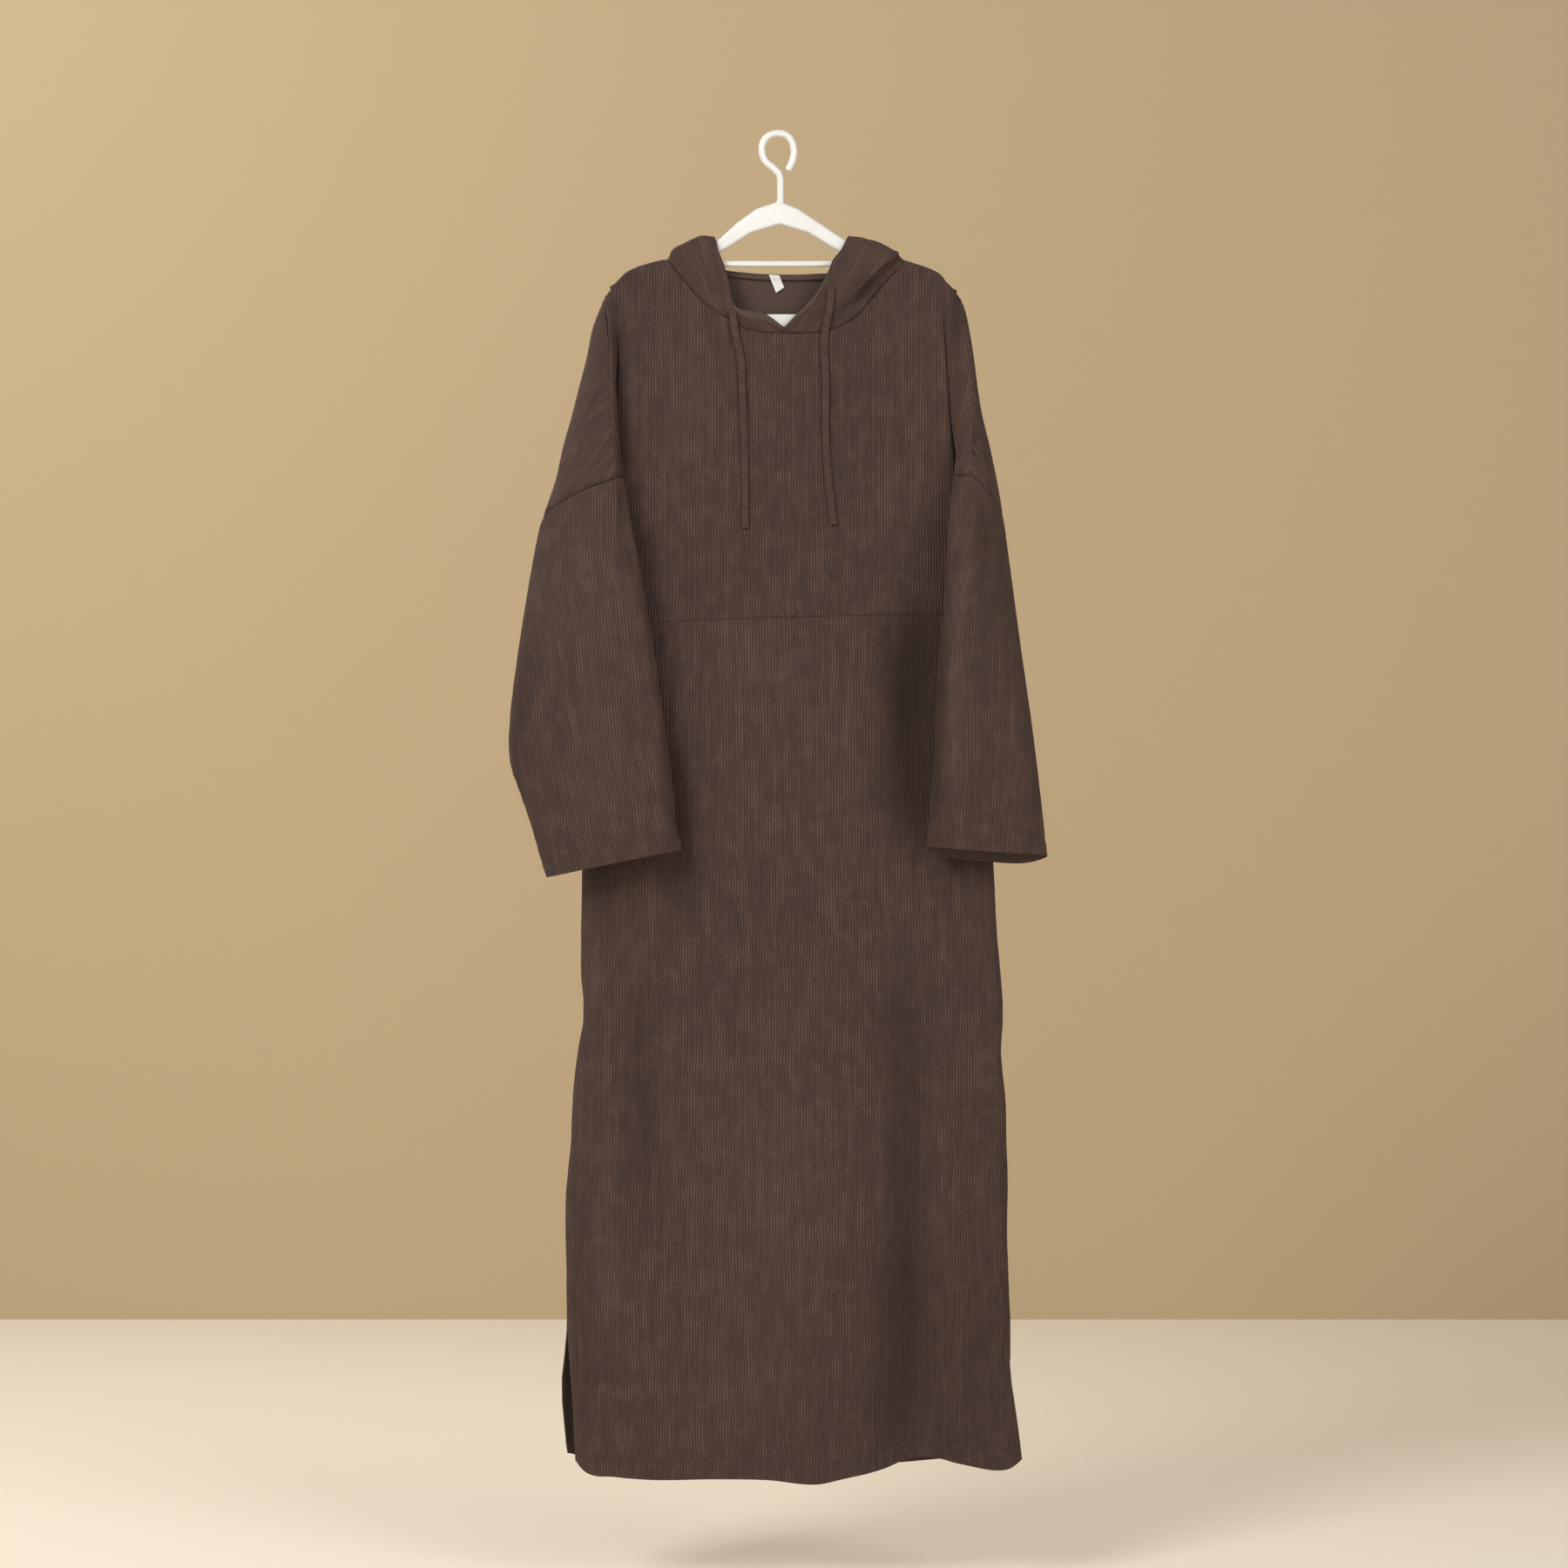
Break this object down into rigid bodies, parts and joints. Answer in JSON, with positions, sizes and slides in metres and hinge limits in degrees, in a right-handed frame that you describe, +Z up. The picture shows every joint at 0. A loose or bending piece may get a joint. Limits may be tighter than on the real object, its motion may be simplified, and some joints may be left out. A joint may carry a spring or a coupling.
{
  "type": "hooded abaya on a plastic hanger",
  "caption": "Long hooded pullover abaya in brown wide-wale corduroy with a waist seam, dropped shoulders, straight sleeves, two drawstrings and side slits, hanging on a white moulded plastic hanger.",
  "frame": {"origin": "inside top of the hanger's hook, where a peg carries it", "axes": "+Z up, -Y towards the front of the garment, +X towards the viewer's right when facing the front"},
  "size_m": [0.6125, 0.1681, 1.5505],
  "materials": {
    "corduroy": "ribbed pile",
    "drawstring": "ribbed pile",
    "label": "satin weave",
    "hanger_plastic": "satin"
  },
  "bodies": {
    "root": {"hanger": "hanger_plastic", "front_bodice": "corduroy", "front_skirt": "corduroy", "back_panel": "corduroy", "sleeve_left": "corduroy", "sleeve_right": "corduroy", "hood_left": "corduroy", "hood_right": "corduroy", "drawstring_left": "drawstring", "drawstring_right": "drawstring", "neck_label": "label"}
  },
  "joints": []
}
